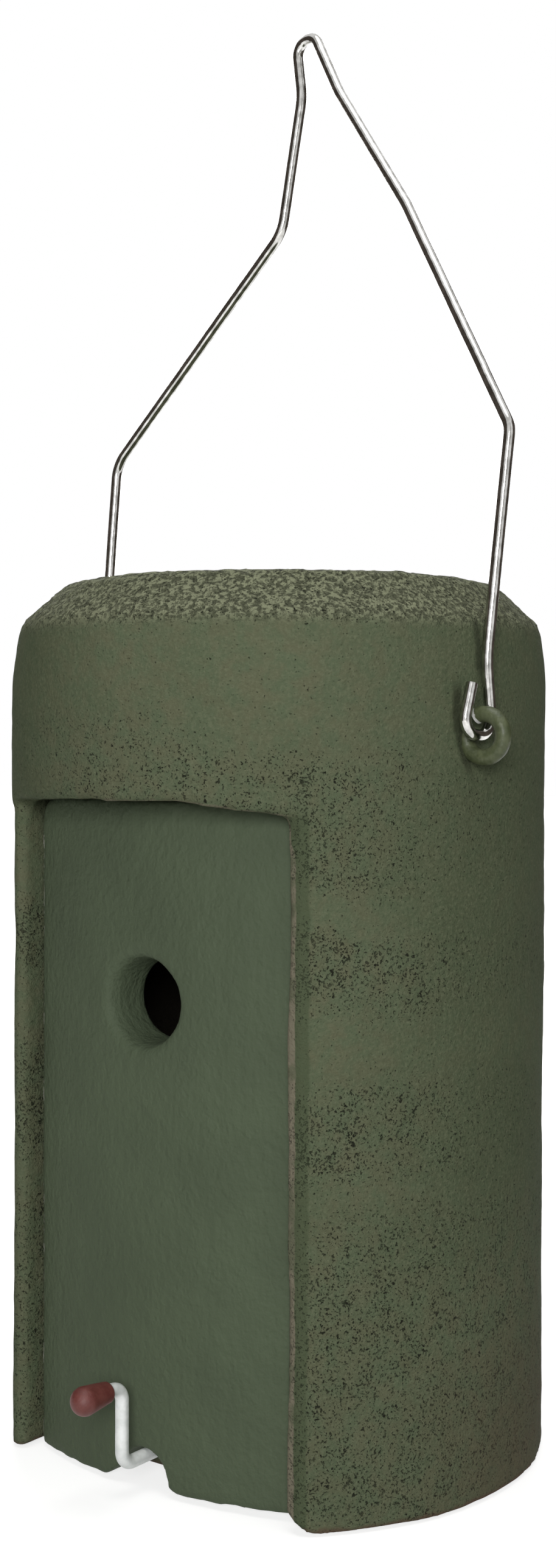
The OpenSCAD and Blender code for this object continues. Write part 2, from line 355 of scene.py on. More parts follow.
def pitDensity(place, x, y, z):
    # How open the casting is at each height: rough over the bevel and roof, then in loose bands
    look = bodyLook
    level = z + place.wave(50.0, 2.0, 0.5, (31.0, 7.0, 3.0)) * 36.0
    turn = turnRound(x, y)
    found = z.ramp(298.0, 305.0) * look["roofShare"]
    found = found.atLeast(upperBand(level, turn))
    jambs = turn.within(-60.0, -32.0, 4.0) * 0.18 + turn.within(34.0, 54.0, 9.0) * 0.22
    far = 1.0 - turn.within(74.0, 150.0, 14.0) * 0.4
    for low, high, soft, share in look["bands"]:
        found = found.atLeast(level.within(low, high, soft) * far * (share + jambs))
    found = found.atLeast(level.within(*look["lowBand"]) * look["lowShare"])
    patch = place.noise(8.0, 4.0, 0.65, (2.0, 9.0, 1.0)).ramp(0.34, 0.64)
    return found * (patch * 0.5 + 0.5) + 0.15


def pitAmount(place, density, size, level, shift):
    # Open pits where a ragged noise tops a threshold that the density lowers
    ragged = place.noise(size, 2.0, 0.55, shift)
    limit = level - density * 0.155
    return ((ragged - limit) / 0.11).ramp(0.0, 1.0)


def lintelDip(x):
    # The lintel's worn front edge hangs lower to the right, and a little to the left
    right = (x - 29.0).atLeast(0.0) * 0.135
    left = (14.0 - x).atLeast(0.0) * 0.027
    return right + left + 0.9


def bodyRelief(place, seeded, x, y, z, term):
    # Broad waves, lumps, grain and open pits of the rough casting
    wide = seeded.wave(60.0, 1.0) * term["Lumps"] * 1.5
    lump = seeded.wave(17.0, 2.0, 0.5, (5.0, 1.0, 9.0)) * term["Lumps"]
    crumbly = z.ramp(298.0, 307.0) * 5.0 + 0.8
    grain = seeded.wave(4.2, 3.0, 0.65, (2.0, 8.0, 4.0)) * term["Grain"] * crumbly
    pits = pitAmount(place, pitDensity(place, x, y, z), *bodyLook["pits"][0])
    return wide + lump + grain + pits * term["Pit Depth"]


def bodyOutside(x, y, z, term):
    # The tapered wall, the bevel, the roof and the base, with the top leaning a little
    look = bodyLook
    width = look["bevelWidth"]
    height = look["bevelHeight"]
    lean = z.ramp(262.0, 304.0)
    upper = reach(x - lean * look["topShift"][0], y - lean * look["topShift"][1])
    lip = (z - term["Height"] + look["taperHeight"]).atLeast(0.0)
    taper = look["topTaper"] / (look["taperHeight"] - height) ** 2
    leftIn = (-x).ramp(48.0, 72.0) * z.fall(236.5, 240.0) * look["leftStep"]
    footFrom, footGain = look["footTaper"]
    wall = upper - term["Radius"] + lip * lip * taper + leftIn - z.fall(0.0, footFrom) * footGain
    slope = math.hypot(width, height)
    rise = z - term["Height"]
    outside = upper - term["Radius"] + look["topTaper"] - look["bevelOut"]
    bevel = outside * (height / slope) + (rise + height) * (width / slope)
    solid = softMax(wall, bevel, look["bevelSoft"])
    solid = softMax(solid, rise, look["roofSoft"])
    return softMax(solid, -z, look["baseSoft"])


def withRecess(solid, x, y, z, ragged, term):
    # The flat front under the lintel, the panel's seat and the chip at the right jamb's foot
    bow = panelLook["bow"]
    ahead = -y - (bow ** 2 - x * x).calc("SQRT") + (bow - panelLook["frontAt"])
    under = term["Lintel"] - lintelDip(x) * ahead.ramp(1.2, 3.4) + ragged * 0.5
    frontCut = softMin(-(y + term["Flat"]), under - z, 5.0)
    solid = softMax(solid, frontCut, 2.0)
    seatCut = softMin(term["Opening"] - x.size() + ragged * 0.55, -(y + term["Seat"]), 3.0)
    seatCut = softMin(seatCut, under - z, 8.0)
    solid = softMax(solid, seatCut, 2.5 + (-x).ramp(0.0, 1.0) * 4.0)
    chip = 4.6 + ragged * 0.8 - (x - term["Opening"]) * 0.55 - z * 0.83
    chip = chip.atMost(-y - 66.0).atMost(x - 50.0)
    return softMax(solid, chip, 3.0)


def withChamber(solid, x, y, z, around):
    # The nest chamber, the way to it behind the panel and the bore of the latch's rod
    look = bodyLook
    level = (look["ceiling"] - z).atMost(z - look["floorTop"])
    solid = softMax(solid, softMin(look["chamberRadius"] - around, level, 3.0), 2.0)
    access = (look["accessHalf"] - x.size()).atMost(look["accessTop"] - z)
    access = access.atMost(z - look["floorTop"]).atMost(-(y + look["accessFrom"]))
    solid = softMax(solid, access, 2.0)
    bore = look["boreRadius"] - (x * x + (z - look["boreHeight"]) ** 2.0).calc("SQRT")
    return solid.atLeast(bore.atMost(-(y + look["boreFrom"])))


def bodyGroup(inputs, material):
    tree, term = newGroup("woodcrete body", inputs)
    place = Term(tree).node("GeometryNodeInputPosition") * perMetre
    seeded = place + term["Seed"] * 37.0
    x, y, z = place.parts()
    around = reach(x, y)
    ragged = seeded.wave(6.0, 3.0, 0.6, (4.0, 4.0, 1.0)) * 1.7
    ragged = ragged + seeded.wave(24.0, 1.0, 0.5, (8.0, 1.0, 6.0)) * 1.6
    solid = withRecess(bodyOutside(x, y, z, term), x, y, z, ragged, term)
    outer = around.ramp(75.0, 82.0).atLeast(z.ramp(294.0, 300.0))
    solid = solid + bodyRelief(place, seeded, x, y, z, term) * outer
    solid = withChamber(solid, x, y, z, around)
    return carved(tree, solid, term["Voxel"], bodyLook["boxLow"], bodyLook["boxHigh"], material)


def agedPaintAndShade(paint, place, turn, z):
    # The paint is darker in clouds, and painted shade darkens it on the right side and over the lintel on
    # the left, where the light falls off round the body
    mottle = place.noise(48.0, 3.0, 0.55).ramp(0.3, 0.7)
    # Painted shade: the right side and the upper left are darkened for the light falling off
    right = turn.ramp(46.0, 78.0) * turn.fall(120.0, 170.0) * z.ramp(50.0, 120.0)
    left = (-turn).ramp(4.0, 30.0) * (-turn).fall(62.0, 110.0) * z.ramp(236.0, 242.0)
    mottleAndShade = mottle * 0.3 + right * 0.58 + left * 0.6
    return mottleAndShade.blend(paint, colour(bodyLook["paintDeepAndShade"]))


def bareEdgesAndJambShade(paint, place, wander, x, y, z):
    # Woodcrete shows through along the seat's front edge and the lintel's worn edge, and painted shade
    # darkens the jamb faces beside the opening, most on the right
    look = bodyLook
    bare = colour(look["bare"])
    right = x.ramp(-1.0, 1.0)
    margin = z.fall(222.0, 230.0) * 2.2
    strip = (x.size() - look["openingHalf"] - wander * 2.0).fall(margin + 0.9, margin + 1.4)
    onFlat = (-y).ramp(71.0, 72.5) * (-y).fall(76.4, 77.0) * (z - 237.0).fall(0.0, 2.0)
    broken = place.noise(11.0, 3.0, 0.6, (8.0, 2.0, 5.0)).ramp(0.42, 0.56) * 0.55 + 0.35
    strip = strip * onFlat * (right * broken + 0.05)
    # Painted shade on the jamb faces beside the opening, strongest on the right
    jambShade = (-y).ramp(68.0, 69.5) * (x.size() + wander * 2.0).fall(67.6, 68.6) * z.fall(236.0, 240.0)
    paint = (jambShade * (right * 0.75 + 0.1)).blend(paint, colour(look["paintDeepAndShade"]))
    paint = strip.blend(paint, bare)
    edge = (z - look["lintelAt"] + lintelDip(x) + wander * 2.4).size().fall(0.3, 0.9)
    return (edge * (-y).ramp(76.0, 80.0) * 0.6).blend(paint, bare)


def paintedWireShadows(paint, wander, turn, z):
    # Painted shadow: a dark line beside the bail's wire above the right eye, and one beside the hook and
    # ring running down below it
    look = bodyLook
    line = (turn - look["wireShadowTurn"] + wander).size().fall(0.4, 1.5)
    line = line * z.within(285.0, 303.0, 3.0) * 0.55
    hookShadowAt = look["hookShadowTurn"] + (267.0 - z).atLeast(0.0) * 0.22
    hookShadow = (turn - hookShadowAt + wander * 1.4).size().fall(0.5, 1.7)
    line = line.atLeast(hookShadow * z.within(252.0, 281.0, 4.0) * 0.62)
    # The painted shadows take the dark pit colour
    return line.blend(paint, colour(look["pit"]))


def footAndShadedInside(paint, wander, turn, around, z):
    # Brown at the foot, most of all on the right, and the unpainted walls inside, darkened further with
    # painted shade
    look = bodyLook
    foot = (z + wander * 4.0).fall(0.5, 2.8) * 0.7
    foot = foot + turn.within(78.0, 130.0, 20.0) * z.fall(10.0, 75.0) * 0.3
    paint = foot.blend(paint, colour(look["foot"]))
    # The chamber's walls: unpainted woodcrete, made near black as painted shade
    shadedInside = around.fall(73.0, 75.0) * z.ramp(20.0, 22.0) * z.fall(293.5, 295.0)
    return shadedInside.blend(paint, colour(look["inside"]))


def bodyMaterial():
    look = bodyLook
    made, surface, place = newMaterial("woodcrete")
    x, y, z = place.parts()
    turn = turnRound(x, y)
    density = pitDensity(place, x, y, z)
    pits, small, tiny = [pitAmount(place, density, *kind) for kind in look["pits"]]
    holes = (pits * 0.85).atLeast(small).atLeast(tiny * 0.85)
    holes = holes * (place.noise(3.4, 2.0, 0.5, (5.0, 2.0, 2.0)).ramp(0.38, 0.6) * 0.4 + 0.68)

    tint = place.noise(8.0, 4.0, 0.6, (6.0, 1.0, 2.0)).ramp(0.36, 0.64)
    paint = tint.blend(colour(look["paintGreen"]), colour(look["paint"]))
    paint = agedPaintAndShade(paint, place, turn, z)
    speck = place.noise(1.2, 4.0, 0.7, (3.0, 3.0, 9.0)).ramp(0.42, 0.7)
    paint = (speck * 0.5).blend(paint, colour(look["paintPale"]))
    roof = z.ramp(299.0, 307.0)
    crumb = place.noise(1.8, 4.0, 0.65, (9.0, 2.0, 7.0)).ramp(0.32, 0.54)
    crumbs = crumb.blend(colour(look["roofDeep"]), colour(look["roofPale"]))
    paint = (roof * 0.9).blend(paint, crumbs)
    # The pits are darkened: the raw hole's own colour, and painted shade inside holes too small for the
    # mesh
    paint = (holes * 0.92).blend(paint, colour(look["pit"]))
    wander = place.wave(7.0, 2.0, 0.6, (4.0, 4.0, 1.0))
    paint = bareEdgesAndJambShade(paint, place, wander, x, y, z)
    paint = paintedWireShadows(paint, wander, turn, z)
    paint = footAndShadedInside(paint, wander, turn, reach(x, y), z)

    grain = place.noise(0.9, 4.0, 0.65)
    rough = place.noise(2.8, 3.0, 0.6, (5.0, 5.0, 2.0))
    relief = grain * 0.45 + rough * 0.7 - holes * 0.9 + roof * (crumb * 1.7 + grain * 0.5)
    feed(surface, Base_Color=paint, Roughness=look["roughness"] - holes * 0.05)
    feed(surface, Normal=bumped(relief, 1.0), Specular_IOR_Level=look["specular"])
    return made


def makeBody():
    look = bodyLook
    inputs = {
        "Voxel": look["voxel"] * draft,
        "Lumps": look["lumps"],
        "Grain": look["grain"],
        "Pit Depth": look["pitDepth"],
        "Radius": look["radius"],
        "Height": look["height"],
        "Lintel": look["lintelAt"],
        "Flat": look["flatAt"],
        "Seat": look["seatAt"],
        "Opening": look["openingHalf"],
        "Seed": look["seed"],
    }
    tree = bodyGroup(inputs, bodyMaterial())
    seedling = bpy.data.meshes.new("bodySeed")
    return facedOut(grown("bodyCasting", seedling, tree, inputs, look["triangles"]))


# The lift-out panel
panelLook = {
    "voxel": 1.15,
    "triangles": 150000,
    "boxLow": (-62.0, -80.5, -2.0),
    "boxHigh": (62.0, -57.0, 243.0),
    "seed": 1,
    "half": 59.5,
    "foot": 0.9,
    "footSlope": 0.014,
    "footSoft": 4.5,
    "top": 241.6,
    "backAt": 58.8,
    "frontAt": 78.0,
    "bow": 165.0,
    "upperCorner": 10.0,
    "sideSoft": 5.0,
    "brow": 1.8,                     # rounding of the upper edge, which is tighter than the sides
    "entranceRadius": 16.0,
    "entranceAt": 171.0,
    "throatIn": 0.7,                 # the throat is this much under the radius at the front
    "throatTaper": 1.4,              # and narrows by this much more to the back
    "funnelFrom": 66.0,
    "funnelRadius": 11.2,
    "funnelCurve": 0.034,
    "funnelAside": 2.6,
    "notchHalf": 10.5,
    "notchTop": 14.7,
    "notchFlare": [(-1.0, 7.0, 1.25), (1.0, 3.5, 0.8)],    # side, height it starts at, slope
    "ragged": 0.7,
    "paint": "#4a5441",
    "paintPale": "#525d48",
    "bare": "#8d8778",
    "chalk": "#cfcdc4",
    "roughness": 0.7,
    "specular": 0.2,
}
cornerSoft = 1.76    # softness of an edge for each millimetre of its rounding


def panelPlate(x, y, z, ragged, front, term):
    # The bowed plate with rounded edges, a flat back and a ragged, slightly sloping foot
    look = panelLook
    sides = x.size() - term["Half Width"] + ragged * 0.55
    rim = softMax(sides, z - term["Top"] + ragged * 0.4, look["upperCorner"] * cornerSoft)
    edge = z.ramp(212.0, 236.0) * (look["brow"] * cornerSoft - look["sideSoft"]) + look["sideSoft"]
    plate = softMax(front, rim, edge)
    foot = term["Foot"] + x * look["footSlope"] + ragged * 1.2
    plate = softMax(plate, foot - z, look["footSoft"])
    return softMax(plate, y + term["Back"], 2.0)


def withEntrance(plate, x, y, z, lump, term):
    # The throat narrows inwards, and a shallow funnel opens in front of it
    look = panelLook
    level = z - term["Entrance Height"]
    taper = (1.0 - (-y).ramp(look["backAt"], look["frontAt"], False)) * look["throatTaper"]
    throat = term["Entrance Radius"] - look["throatIn"] - taper
    plate = softMax(plate, throat - reach(x, level) + lump * 0.3, 4.0)
    mouth = (-y - look["funnelFrom"]).atLeast(0.0)
    flare = mouth * mouth * look["funnelCurve"] + look["funnelRadius"]
    funnel = flare - reach(x + look["funnelAside"], level)
    return softMax(plate, funnel + lump * 0.4, 5.0)


def withNotch(plate, x, z, ragged):
    # The arched notch at the foot opens out below, more on the left
    look = panelLook
    flares = []
    for side, start, slope in look["notchFlare"]:
        flares.append((start - z).atLeast(0.0) * slope * (x * side).ramp(-2.0, 2.0))
    over = (z - (look["notchTop"] - look["notchHalf"])).atLeast(0.0)
    notch = flares[0] + flares[1] + look["notchHalf"] - reach(x, over) + ragged * 0.4
    return softMax(plate, notch, 3.0)


def panelGroup(inputs, material):
    tree, term = newGroup("front panel", inputs)
    place = Term(tree).node("GeometryNodeInputPosition") * perMetre
    seeded = place + term["Seed"] * 23.0
    x, y, z = place.parts()
    streaked = seeded * (1.0, 1.0, 0.12)
    lump = seeded.wave(6.0, 2.0) * 0.8
    ragged = seeded.wave(5.0, 3.0, 0.6, (3.0, 1.0, 4.0)) * term["Ragged"] * 2.0
    front = reach(x, y + term["Front"] - term["Bow"]) - term["Bow"]
    front = front + seeded.wave(46.0, 1.0) * 0.9 + streaked.wave(4.5, 2.0) * 0.25 + lump
    plate = panelPlate(x, y, z, ragged, front, term)
    plate = withEntrance(plate, x, y, z, lump, term)
    plate = withNotch(plate, x, z, ragged)
    return carved(tree, plate, term["Voxel"], panelLook["boxLow"], panelLook["boxHigh"], material)


def panelMaterial():
    look = panelLook
    made, surface, place = newMaterial("panel woodcrete")
    x, y, z = place.parts()
    streak = (place * (1.0, 1.0, 0.1)).noise(3.0, 4.0, 0.6)
    cloud = place.noise(34.0, 2.0, 0.5, (2.0, 2.0, 5.0))
    tone = (streak * 0.3 + cloud * 0.8 - 0.05).ramp(0.2, 0.85)
    paint = tone.blend(colour(look["paint"]), colour(look["paintPale"]))

    # The side edges are rubbed bare, with a broken chalky line on the left one
    wander = place.wave(6.0, 3.0, 0.6, (1.0, 7.0, 2.0))
    rim = (x.size() + wander * 2.6).ramp(58.9, 59.5) * z.ramp(12.0, 20.0)
    rim = rim * (-y).ramp(63.0, 64.0)
    paint = (rim * 0.55).blend(paint, colour(look["bare"]))
    broken = place.noise(4.0, 3.0, 0.6).ramp(0.5, 0.58)
    edge = (-x + wander * 1.2).ramp(57.3, 57.8) * (-y).ramp(62.0, 64.0) * broken
    paint = (edge * 0.85).blend(paint, colour(look["chalk"]))

    fine = place.noise(1.3, 3.0, 0.55)
    rough = (place * (1.0, 1.0, 0.7)).noise(2.2, 2.0, 0.5, (6.0, 0.0, 3.0))
    feed(surface, Base_Color=paint, Roughness=look["roughness"], Specular_IOR_Level=look["specular"])
    feed(surface, Normal=bumped(fine * 0.35 + rough * 0.9, 1.0, 0.8))
    return made


def makePanel():
    look = panelLook
    inputs = {
        "Voxel": look["voxel"] * draft,
        "Ragged": look["ragged"],
        "Half Width": look["half"],
        "Foot": look["foot"],
        "Top": look["top"],
        "Back": look["backAt"],
        "Front": look["frontAt"],
        "Bow": look["bow"],
        "Entrance Radius": look["entranceRadius"],
        "Entrance Height": look["entranceAt"],
        "Seed": look["seed"],
    }
    tree = panelGroup(inputs, panelMaterial())
    seedling = bpy.data.meshes.new("panelSeed")
    return facedOut(grown("panelCasting", seedling, tree, inputs, look["triangles"]))


def lineOf(name, points):
    # A curve through points given in metres, each with the radius of its bend
    data = bpy.data.curves.new(name, "CURVE")
    data.dimensions = "3D"
    path = data.splines.new("POLY")
    path.points.add(len(points) - 1)
    for entry, (spot, radius) in zip(path.points, points):
        entry.co = (spot[0], spot[1], spot[2], 1.0)
        entry.radius = radius
    return data


def wireInputs(look):
    return {
        "Wire Radius": look["wireRadius"],
        "Waver": look["waver"],
        "Flats": look["flats"],
        "Step": look["step"],
        "Sides": look["sides"],
        "Seed": look["seed"],
    }


def wireGroup(name, inputs, material):
    # A wire along the points of a curve, whose point radii are the radii of its bends
    tree, term = newGroup(name, inputs)
    line = term["Geometry"]
    radius = line.node("GeometryNodeInputRadius")
    bends = {"Curve": line, "Count": 14, "Radius": radius, "Limit Radius": True}
    even = line.node("GeometryNodeFilletCurve", bends, mode="POLY")
    even = even.node("GeometryNodeSetCurveRadius", {"Curve": even, "Radius": 1.0})
    steps = {"Curve": even, "Length": term["Step"] / perMetre}
    even = even.node("GeometryNodeResampleCurve", steps, mode="LENGTH")
    seeded = even.node("GeometryNodeInputPosition") * perMetre + term["Seed"] * 19.0
    drift = seeded.node("ShaderNodeTexNoise", {"Vector": seeded, "Scale": 1.0 / 32.0, "Detail": 1.0}, 1)
    shift = (drift - (0.5, 0.5, 0.5)) * (term["Waver"] / perMetre)
    even = even.node("GeometryNodeSetPosition", {"Geometry": even, "Offset": shift})
    ring = {"Resolution": term["Sides"], "Radius": term["Wire Radius"] / perMetre}
    ring = even.node("GeometryNodeCurvePrimitiveCircle", ring)
    tube = even.node("GeometryNodeCurveToMesh", {"Curve": even, "Profile Curve": ring, "Fill Caps": True})
    spot = tube.node("GeometryNodeInputPosition") * perMetre + term["Seed"] * 19.0
    dent = spot.wave(2.6, 2.0, 0.5) * (term["Flats"] / perMetre)
    pressed = tube.node("GeometryNodeInputNormal") * dent
    tube = tube.node("GeometryNodeSetPosition", {"Geometry": tube, "Offset": pressed})
    return closeGroup(tree, tube, material)


def wirePiece(name, lineName, groupName, points, look, material):
    inputs = wireInputs(look)
    tree = wireGroup(groupName, inputs, material)
    return facedOut(grown(name, lineOf(lineName, points), tree, inputs))


# The two rings of coated rod that the bail hooks into
eyeLook = {
    "turn": 8.4,                     # how far the line through both rings is turned from X
    "fore": 7.25,
    "height": 264.0,
    "ringAt": 106.0,
    "ringRadius": 7.3,
    "yaw": 9.0,
    "start": -165.0,                 # the ring's first and last angle, from straight out and upwards
    "end": 116.0,
    "shank": 24.0,
    "shankBend": 1.4,
    "wireRadius": 2.8,
    "waver": 0.0,
    "flats": 0.35,
    "step": 0.5,
    "sides": 32,
    "seed": 2,
    "paint": "#40472f",
    "paintPale": "#545a40",
    "cut": "#c9c9c6",
    "roughness": 0.42,
    "specular": 0.3,
}


def eyeFrame():
    # From the rings' own line, along X, to the body's frame
    turn = Matrix.Rotation(math.radians(-eyeLook["turn"]), 4, "Z")
    return turn @ Matrix.Translation((0.0, -eyeLook["fore"], 0.0))


def eyePlace(side):
    # Each ring is yawed about the line its hook hangs on
    hung = Matrix.Translation((side * bailLook["hookAt"], 0.0, 0.0))
    yaw = Matrix.Rotation(math.radians(eyeLook["yaw"] * side), 4, "Z")
    return eyeFrame() @ hung @ yaw @ hung.inverted()


def placed(matrix, x, y, z):
    return matrix @ Vector((x, y, z)) / perMetre


def onRing(turn):
    # The way out and the height of a point of the ring, seen along the bail's swing
    look = eyeLook
    a = math.radians(turn)
    return look["ringAt"] + look["ringRadius"] * math.cos(a), look["ringRadius"] * math.sin(a)


def coatMaterial():
    look = eyeLook
    made, surface, place = newMaterial("coated steel")
    patch = place.noise(3.0, 3.0, 0.6).ramp(0.3, 0.75)
    paint = patch.blend(colour(look["paint"]), colour(look["paintPale"]))

    # Each ring ends in a sawn, uncoated face
    for side in (-1, 1):
        stand = eyePlace(side)
        end = math.radians(look["end"])
        out, up = onRing(look["end"])
        spot = stand @ Vector((side * out, 0.0, look["height"] + up))
        along = stand.to_3x3() @ Vector((-side * math.sin(end), 0.0, math.cos(end)))
        apart = [term - value for term, value in zip(place.parts(), spot)]
        squares = [term * term for term in apart]
        near = (squares[0] + squares[1] + squares[2]).calc("SQRT").fall(3.2, 3.6)
        ahead = apart[0] * along.x + apart[1] * along.y + apart[2] * along.z
        face = near * (ahead + patch * 0.6).ramp(-0.9, -0.5)
        paint = face.blend(paint, colour(look["cut"]))
    feed(surface, Base_Color=paint, Roughness=look["roughness"], Specular_IOR_Level=look["specular"])
    feed(surface, Normal=bumped(place.noise(1.6, 3.0), 0.5, 0.5))
    return made


def makeEye(name, side, material):
    look = dict(eyeLook, seed=eyeLook["seed"] + side)
    place = eyePlace(side)
    rim = look["ringAt"] - look["ringRadius"]
    points = [(rim - look["shank"], 0.0, 0.0), (rim + 0.6, 0.0, look["shankBend"])]
    for i in range(41):
        out, up = onRing(look["start"] + i * (look["end"] - look["start"]) / 40)
        points.append((out, up, 0.0))
    made = [(placed(place, side * out, 0.0, look["height"] + up), r / perMetre) for out, up, r in points]
    return wirePiece(name, name, name + " ring", made, look, material)


# The wire that the box hangs by
bailLook = {
    "wireRadius": 2.0,
    "lean": 5.0,
    "hookAt": 104.4,
    "hookRadius": 5.5,
    "hookDrop": 1.6,
    "hookTip": 10.0,
    "bulge": 3.4,                    # how far the right hook is bent open towards the front
    "corners": [                     # across, behind, up, and the radius of the bend there
        (-104.7, 5.5, 107.5, 14.0),
        (-13.9, 5.5, 189.2, 14.0),
        (-7.7, 5.5, 241.0, 26.0),
        (-12.8, 5.5, 263.6, 5.1),
        (-2.7, 5.5, 263.6, 5.1),
        (12.2, 5.5, 238.5, 40.0),
        (50.4, 5.5, 187.6, 24.0),
        (105.1, 5.5, 99.5, 10.0),
        (103.8, 2.2, 19.0, 50.0),
        (104.1, 5.2, 3.0, 5.0),
    ],
    "waver": 0.25,
    "flats": 0.12,
    "step": 0.9,
    "sides": 24,
    "seed": 5,
    "wire": "#d2d1ce",
    "wireDull": "#a3a29e",
    "roughness": 0.12,
}


def wireMaterial():
    look = bailLook
    made, surface, place = newMaterial("galvanised wire")
    drawn = place.noise(3.4, 2.0, 0.5)
    tone = drawn.ramp(0.3, 0.75).blend(colour(look["wireDull"]), colour(look["wire"]))
    feed(surface, Base_Color=tone, Metallic=1.0, Roughness=drawn * 0.1 + look["roughness"] - 0.05)
    return made


def makeBail(material):
    look = bailLook
    hang = math.sqrt(eyeLook["ringRadius"] ** 2 - (eyeLook["ringAt"] - look["hookAt"]) ** 2)
    lean = Matrix.Rotation(math.radians(-look["lean"]), 4, "X")
    place = eyeFrame() @ Matrix.Translation((0.0, 0.0, eyeLook["height"] + hang)) @ lean
    at = look["hookAt"]
    hook = look["hookRadius"]
    tip = look["hookTip"]
    low = -look["hookDrop"] - hook
    corners = [(-at, -hook, tip, 0.0), (-at, -hook, low, hook), (-at, hook, low, hook)]
    corners += look["corners"]
    corners += [(at, hook, low, hook), (at, -hook - look["bulge"], low, hook), (at, -hook, tip, 0.0)]
    made = [(placed(place, x, y, h), r / perMetre) for x, y, h, r in corners]
    return wirePiece("bailWire", "bailLine", "bail wire", made, look, material)


# The cranked rod that holds the panel
latchLook = {
    "wireRadius": 2.4,
    "rodHeight": 12.0,
    "rodFrom": 26.5,
    "armAt": 88.3,
    "throw": 27.5,
    "bend": 5.0,
    "rodTo": 106.4,
    "waver": 0.0,
    "flats": 0.1,
    "step": 0.6,
    "sides": 32,
    "seed": 1,
    "rod": "#f2f4f3",
    "rodDull": "#dde1df",
    "metallic": 0.2,
    "roughness": 0.42,
}


def rodMaterial():
    look = latchLook
    made, surface, place = newMaterial("pale rod")
    patch = place.noise(5.0, 3.0, 0.6).ramp(0.3, 0.7)
    tone = patch.blend(colour(look["rodDull"]), colour(look["rod"]))
    feed(surface, Base_Color=tone, Metallic=look["metallic"], Roughness=look["roughness"])
    feed(surface, Normal=bumped(place.noise(1.2, 3.0), 0.3, 0.4))
    return made


def makeCrank(material):
    look = latchLook
    low = look["rodHeight"]
    high = low + look["throw"]
    bend = look["bend"]
    corners = [(look["rodFrom"], low, 0.0), (look["armAt"], low, bend), (look["armAt"], high, bend)]
    corners.append((look["rodTo"], high, 0.0))
    made = [(Vector((0.0, -out, z)) / perMetre, r / perMetre) for out, z, r in corners]
    return wirePiece("latchRod", "latchLine", "latch rod", made, look, material)


# The cap pushed over the rod's end
capLook = {
    "openEnd": 95.8,
    "length": 16.4,
    "ballRadius": 5.0,
    "neckRadius": 3.7,
    "bore": [(2.45, 3.5), (2.5, 0.7), (3.0, 0.0)],    # radius and depth along the hole for the rod
    "rimRound": (0.3, 0.5),
    "around": 97,
    "along": 90,
    "plastic": "#582621",
    "plasticPale": "#683630",
    "roughness": 0.55,
}


def capMaterial():
    look = capLook
    made, surface, place = newMaterial("cap plastic")
    patch = place.noise(3.5, 3.0, 0.6).ramp(0.3, 0.7)
    tone = patch.blend(colour(look["plastic"]), colour(look["plasticPale"]))
    feed(surface, Base_Color=tone, Roughness=look["roughness"])
    feed(surface, Normal=bumped(place.noise(0.8, 3.0), 0.3, 0.4))
    return made


def turnedGroup(name, inputs, material):
    # A turned piece: the profile curve gives the radius in X and the way along the axis in Z
    tree, term = newGroup(name, inputs)
    size = {"Size X": 1.0, "Size Y": 1.0, "Vertices X": term["Around"], "Vertices Y": term["Along"]}
    sheet = Term(tree).node("GeometryNodeMeshGrid", size)
    flat = sheet.node("GeometryNodeInputPosition").parts()
    turn = flat[0] * (2.0 * math.pi)
    given = {"Curves": term["Geometry"], "Factor": flat[1] + 0.5}
    spot = sheet.node("GeometryNodeSampleCurve", given, "Position", mode="FACTOR").parts()
    rolled = {0: spot[0] * turn.calc("COSINE"), 1: spot[0] * turn.calc("SINE"), 2: spot[2]}
    given = {"Geometry": sheet, "Position": sheet.node("ShaderNodeCombineXYZ", rolled)}
    body = sheet.node("GeometryNodeSetPosition", given)
    body = body.node("GeometryNodeMergeByDistance", {"Geometry": body, "Distance": 0.000002})
    return closeGroup(tree, body, material)


def makeCap(material):
    look = capLook
    ball = look["ballRadius"]
    neck = look["neckRadius"]
    centre = look["length"] - ball
    rimIn, rimUp = look["rimRound"]
    profile = look["bore"] + [(neck - rimIn, 0.0), (neck, rimUp)]
    taper = math.atan2(ball - neck, centre)
    for i in range(25):
        a = -taper + (math.pi / 2 + taper) * i / 24
        profile.append((max(ball * math.cos(a), 0.0), centre + ball * math.sin(a)))
    made = [((r / perMetre, 0.0, h / perMetre), 1.0) for r, h in profile]
    inputs = {"Around": look["around"], "Along": look["along"]}
    tree = turnedGroup("turned cap", inputs, material)
    piece = grown("capSleeve", lineOf("capProfile", made), tree, inputs)
    rise = (latchLook["rodHeight"] + latchLook["throw"]) / perMetre
    stand = Matrix.Translation((0.0, -look["openEnd"] / perMetre, rise))
    piece.data.transform(stand @ Matrix.Rotation(math.pi / 2, 4, "X"))
    return facedOut(piece)


# The stage, in metres and watts
stageLook = {
    "floorHalf": 8.0,
    "floorDrop": 0.0006,
    "floor": "#bcbcba",
    "lift": 0.72,
    "farLift": 0.4,
    "far": (0.16, 0.5),
    "world": 0.06,
    "lamps": [                       # name, degrees from the camera, elevation, distance, size, power
        ("keyLight", -4.0, 14.0, 1.7, 0.6, 18.5),
        ("topLight", 10.0, 76.0, 1.6, 1.0, 11.0),
        ("backLight", 180.0, 18.0, 1.8, 1.5, 22.0),
    ],
    "lampsAim": 0.2,
    "card": (0.11, 0.09, 0.075, 1.0),
    "cardNear": 1.4,
    "cardHeights": (-0.3, 1.6),
    "cards": [                       # name, side, and its two ends in degrees from the camera
        ("leftFlag", -1, 46.0, 160.0),
        ("rightFlag", 1, 66.0, 160.0),
        ("slotFlag", 1, 16.0, 24.0),
    ],
}
white = (1.0, 1.0, 1.0, 1.0)


def seenShare(start):
    # 1 for rays from the camera and for rays that metal or glass sends on, 0 for the light itself
    kinds = ("Is Camera Ray", "Is Glossy Ray", "Is Transmission Ray")
    seen, gloss, clear = [start.node("ShaderNodeLightPath", None, kind) for kind in kinds]
    return seen.atLeast(gloss).atLeast(clear)


